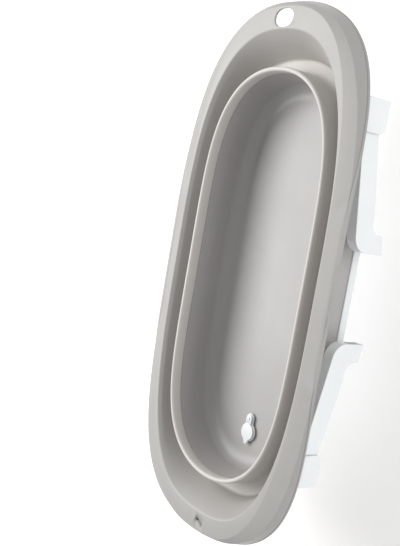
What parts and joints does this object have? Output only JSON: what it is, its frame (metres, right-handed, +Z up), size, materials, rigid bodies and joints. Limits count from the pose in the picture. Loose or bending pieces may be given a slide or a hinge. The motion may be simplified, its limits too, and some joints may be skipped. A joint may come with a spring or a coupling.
{
  "type": "folding pet bathtub",
  "caption": "Oval folding bath for washing a pet: rim with hanging hole, elastomer fold band, sliding pan with a drain plug, and folding legs.",
  "frame": {"origin": "centre of the bounding box on the plane the folded feet stand on", "axes": "+X along the bath towards the hanging hole, +Y across it, +Z up out of the bath"},
  "size_m": [0.835, 0.403, 0.1099],
  "materials": {
    "rim_pp": "satin moulded",
    "band_tpe": "matte elastomer",
    "pan_pp": "satin moulded",
    "base_pp": "satin moulded",
    "plug_pp": "satin moulded",
    "seal": "matte",
    "leg_pp": "satin moulded",
    "steel": "zinc plated"
  },
  "bodies": {
    "rim": {"rim_frame": "rim_pp", "fold_band": "band_tpe", "bracket_head_left": "leg_pp", "bracket_head_right": "leg_pp", "bracket_drain_left": "leg_pp", "bracket_drain_right": "leg_pp", "hinge_pin_head_left": "steel", "hinge_pin_head_right": "steel", "hinge_pin_drain_left": "steel", "hinge_pin_drain_right": "steel", "bracket_screw_head_left_1": "steel", "bracket_screw_head_left_2": "steel", "bracket_screw_head_right_1": "steel", "bracket_screw_head_right_2": "steel", "bracket_screw_drain_left_1": "steel", "bracket_screw_drain_left_2": "steel", "bracket_screw_drain_right_1": "steel", "bracket_screw_drain_right_2": "steel"},
    "pan": {"pan": "pan_pp", "base_shell": "base_pp", "drain_seat": "plug_pp", "drain_gasket": "seal", "drain_nut": "plug_pp", "plug_strap": "plug_pp", "plug_peg": "plug_pp", "plug_pin": "steel", "base_screw_1": "steel", "base_screw_2": "steel", "base_screw_3": "steel", "base_screw_4": "steel", "base_screw_5": "steel", "base_screw_6": "steel"},
    "plug": {"plug_flap": "plug_pp", "plug_seal": "seal"},
    "leg_head_left": {"leg_head_left": "leg_pp"},
    "leg_head_right": {"leg_head_right": "leg_pp"},
    "leg_drain_left": {"leg_drain_left": "leg_pp"},
    "leg_drain_right": {"leg_drain_right": "leg_pp"}
  },
  "joints": [
    {"name": "pan_drop", "type": "slide", "parent": "rim", "child": "pan", "axis": [0, 0, -1], "range_m": [0, 0.092], "deforming": ["fold_band"]},
    {"name": "plug_lift", "type": "hinge", "parent": "pan", "child": "plug", "pos_m": [-0.2405, 0, 0.0338], "axis": [0, 1, 0], "range_deg": [0, 100]},
    {"name": "leg_fold_head_left", "type": "hinge", "parent": "rim", "child": "leg_head_left", "pos_m": [0.25396, 0.17075, 0.072], "axis": [0, -1, 0], "range_deg": [0, 90]},
    {"name": "leg_fold_head_right", "type": "hinge", "parent": "rim", "child": "leg_head_right", "pos_m": [0.25396, -0.17075, 0.072], "axis": [0, -1, 0], "range_deg": [0, 90]},
    {"name": "leg_fold_drain_left", "type": "hinge", "parent": "rim", "child": "leg_drain_left", "pos_m": [-0.25068, 0.17075, 0.072], "axis": [0, 1, 0], "range_deg": [0, 90]},
    {"name": "leg_fold_drain_right", "type": "hinge", "parent": "rim", "child": "leg_drain_right", "pos_m": [-0.25068, -0.17075, 0.072], "axis": [0, 1, 0], "range_deg": [0, 90]}
  ]
}
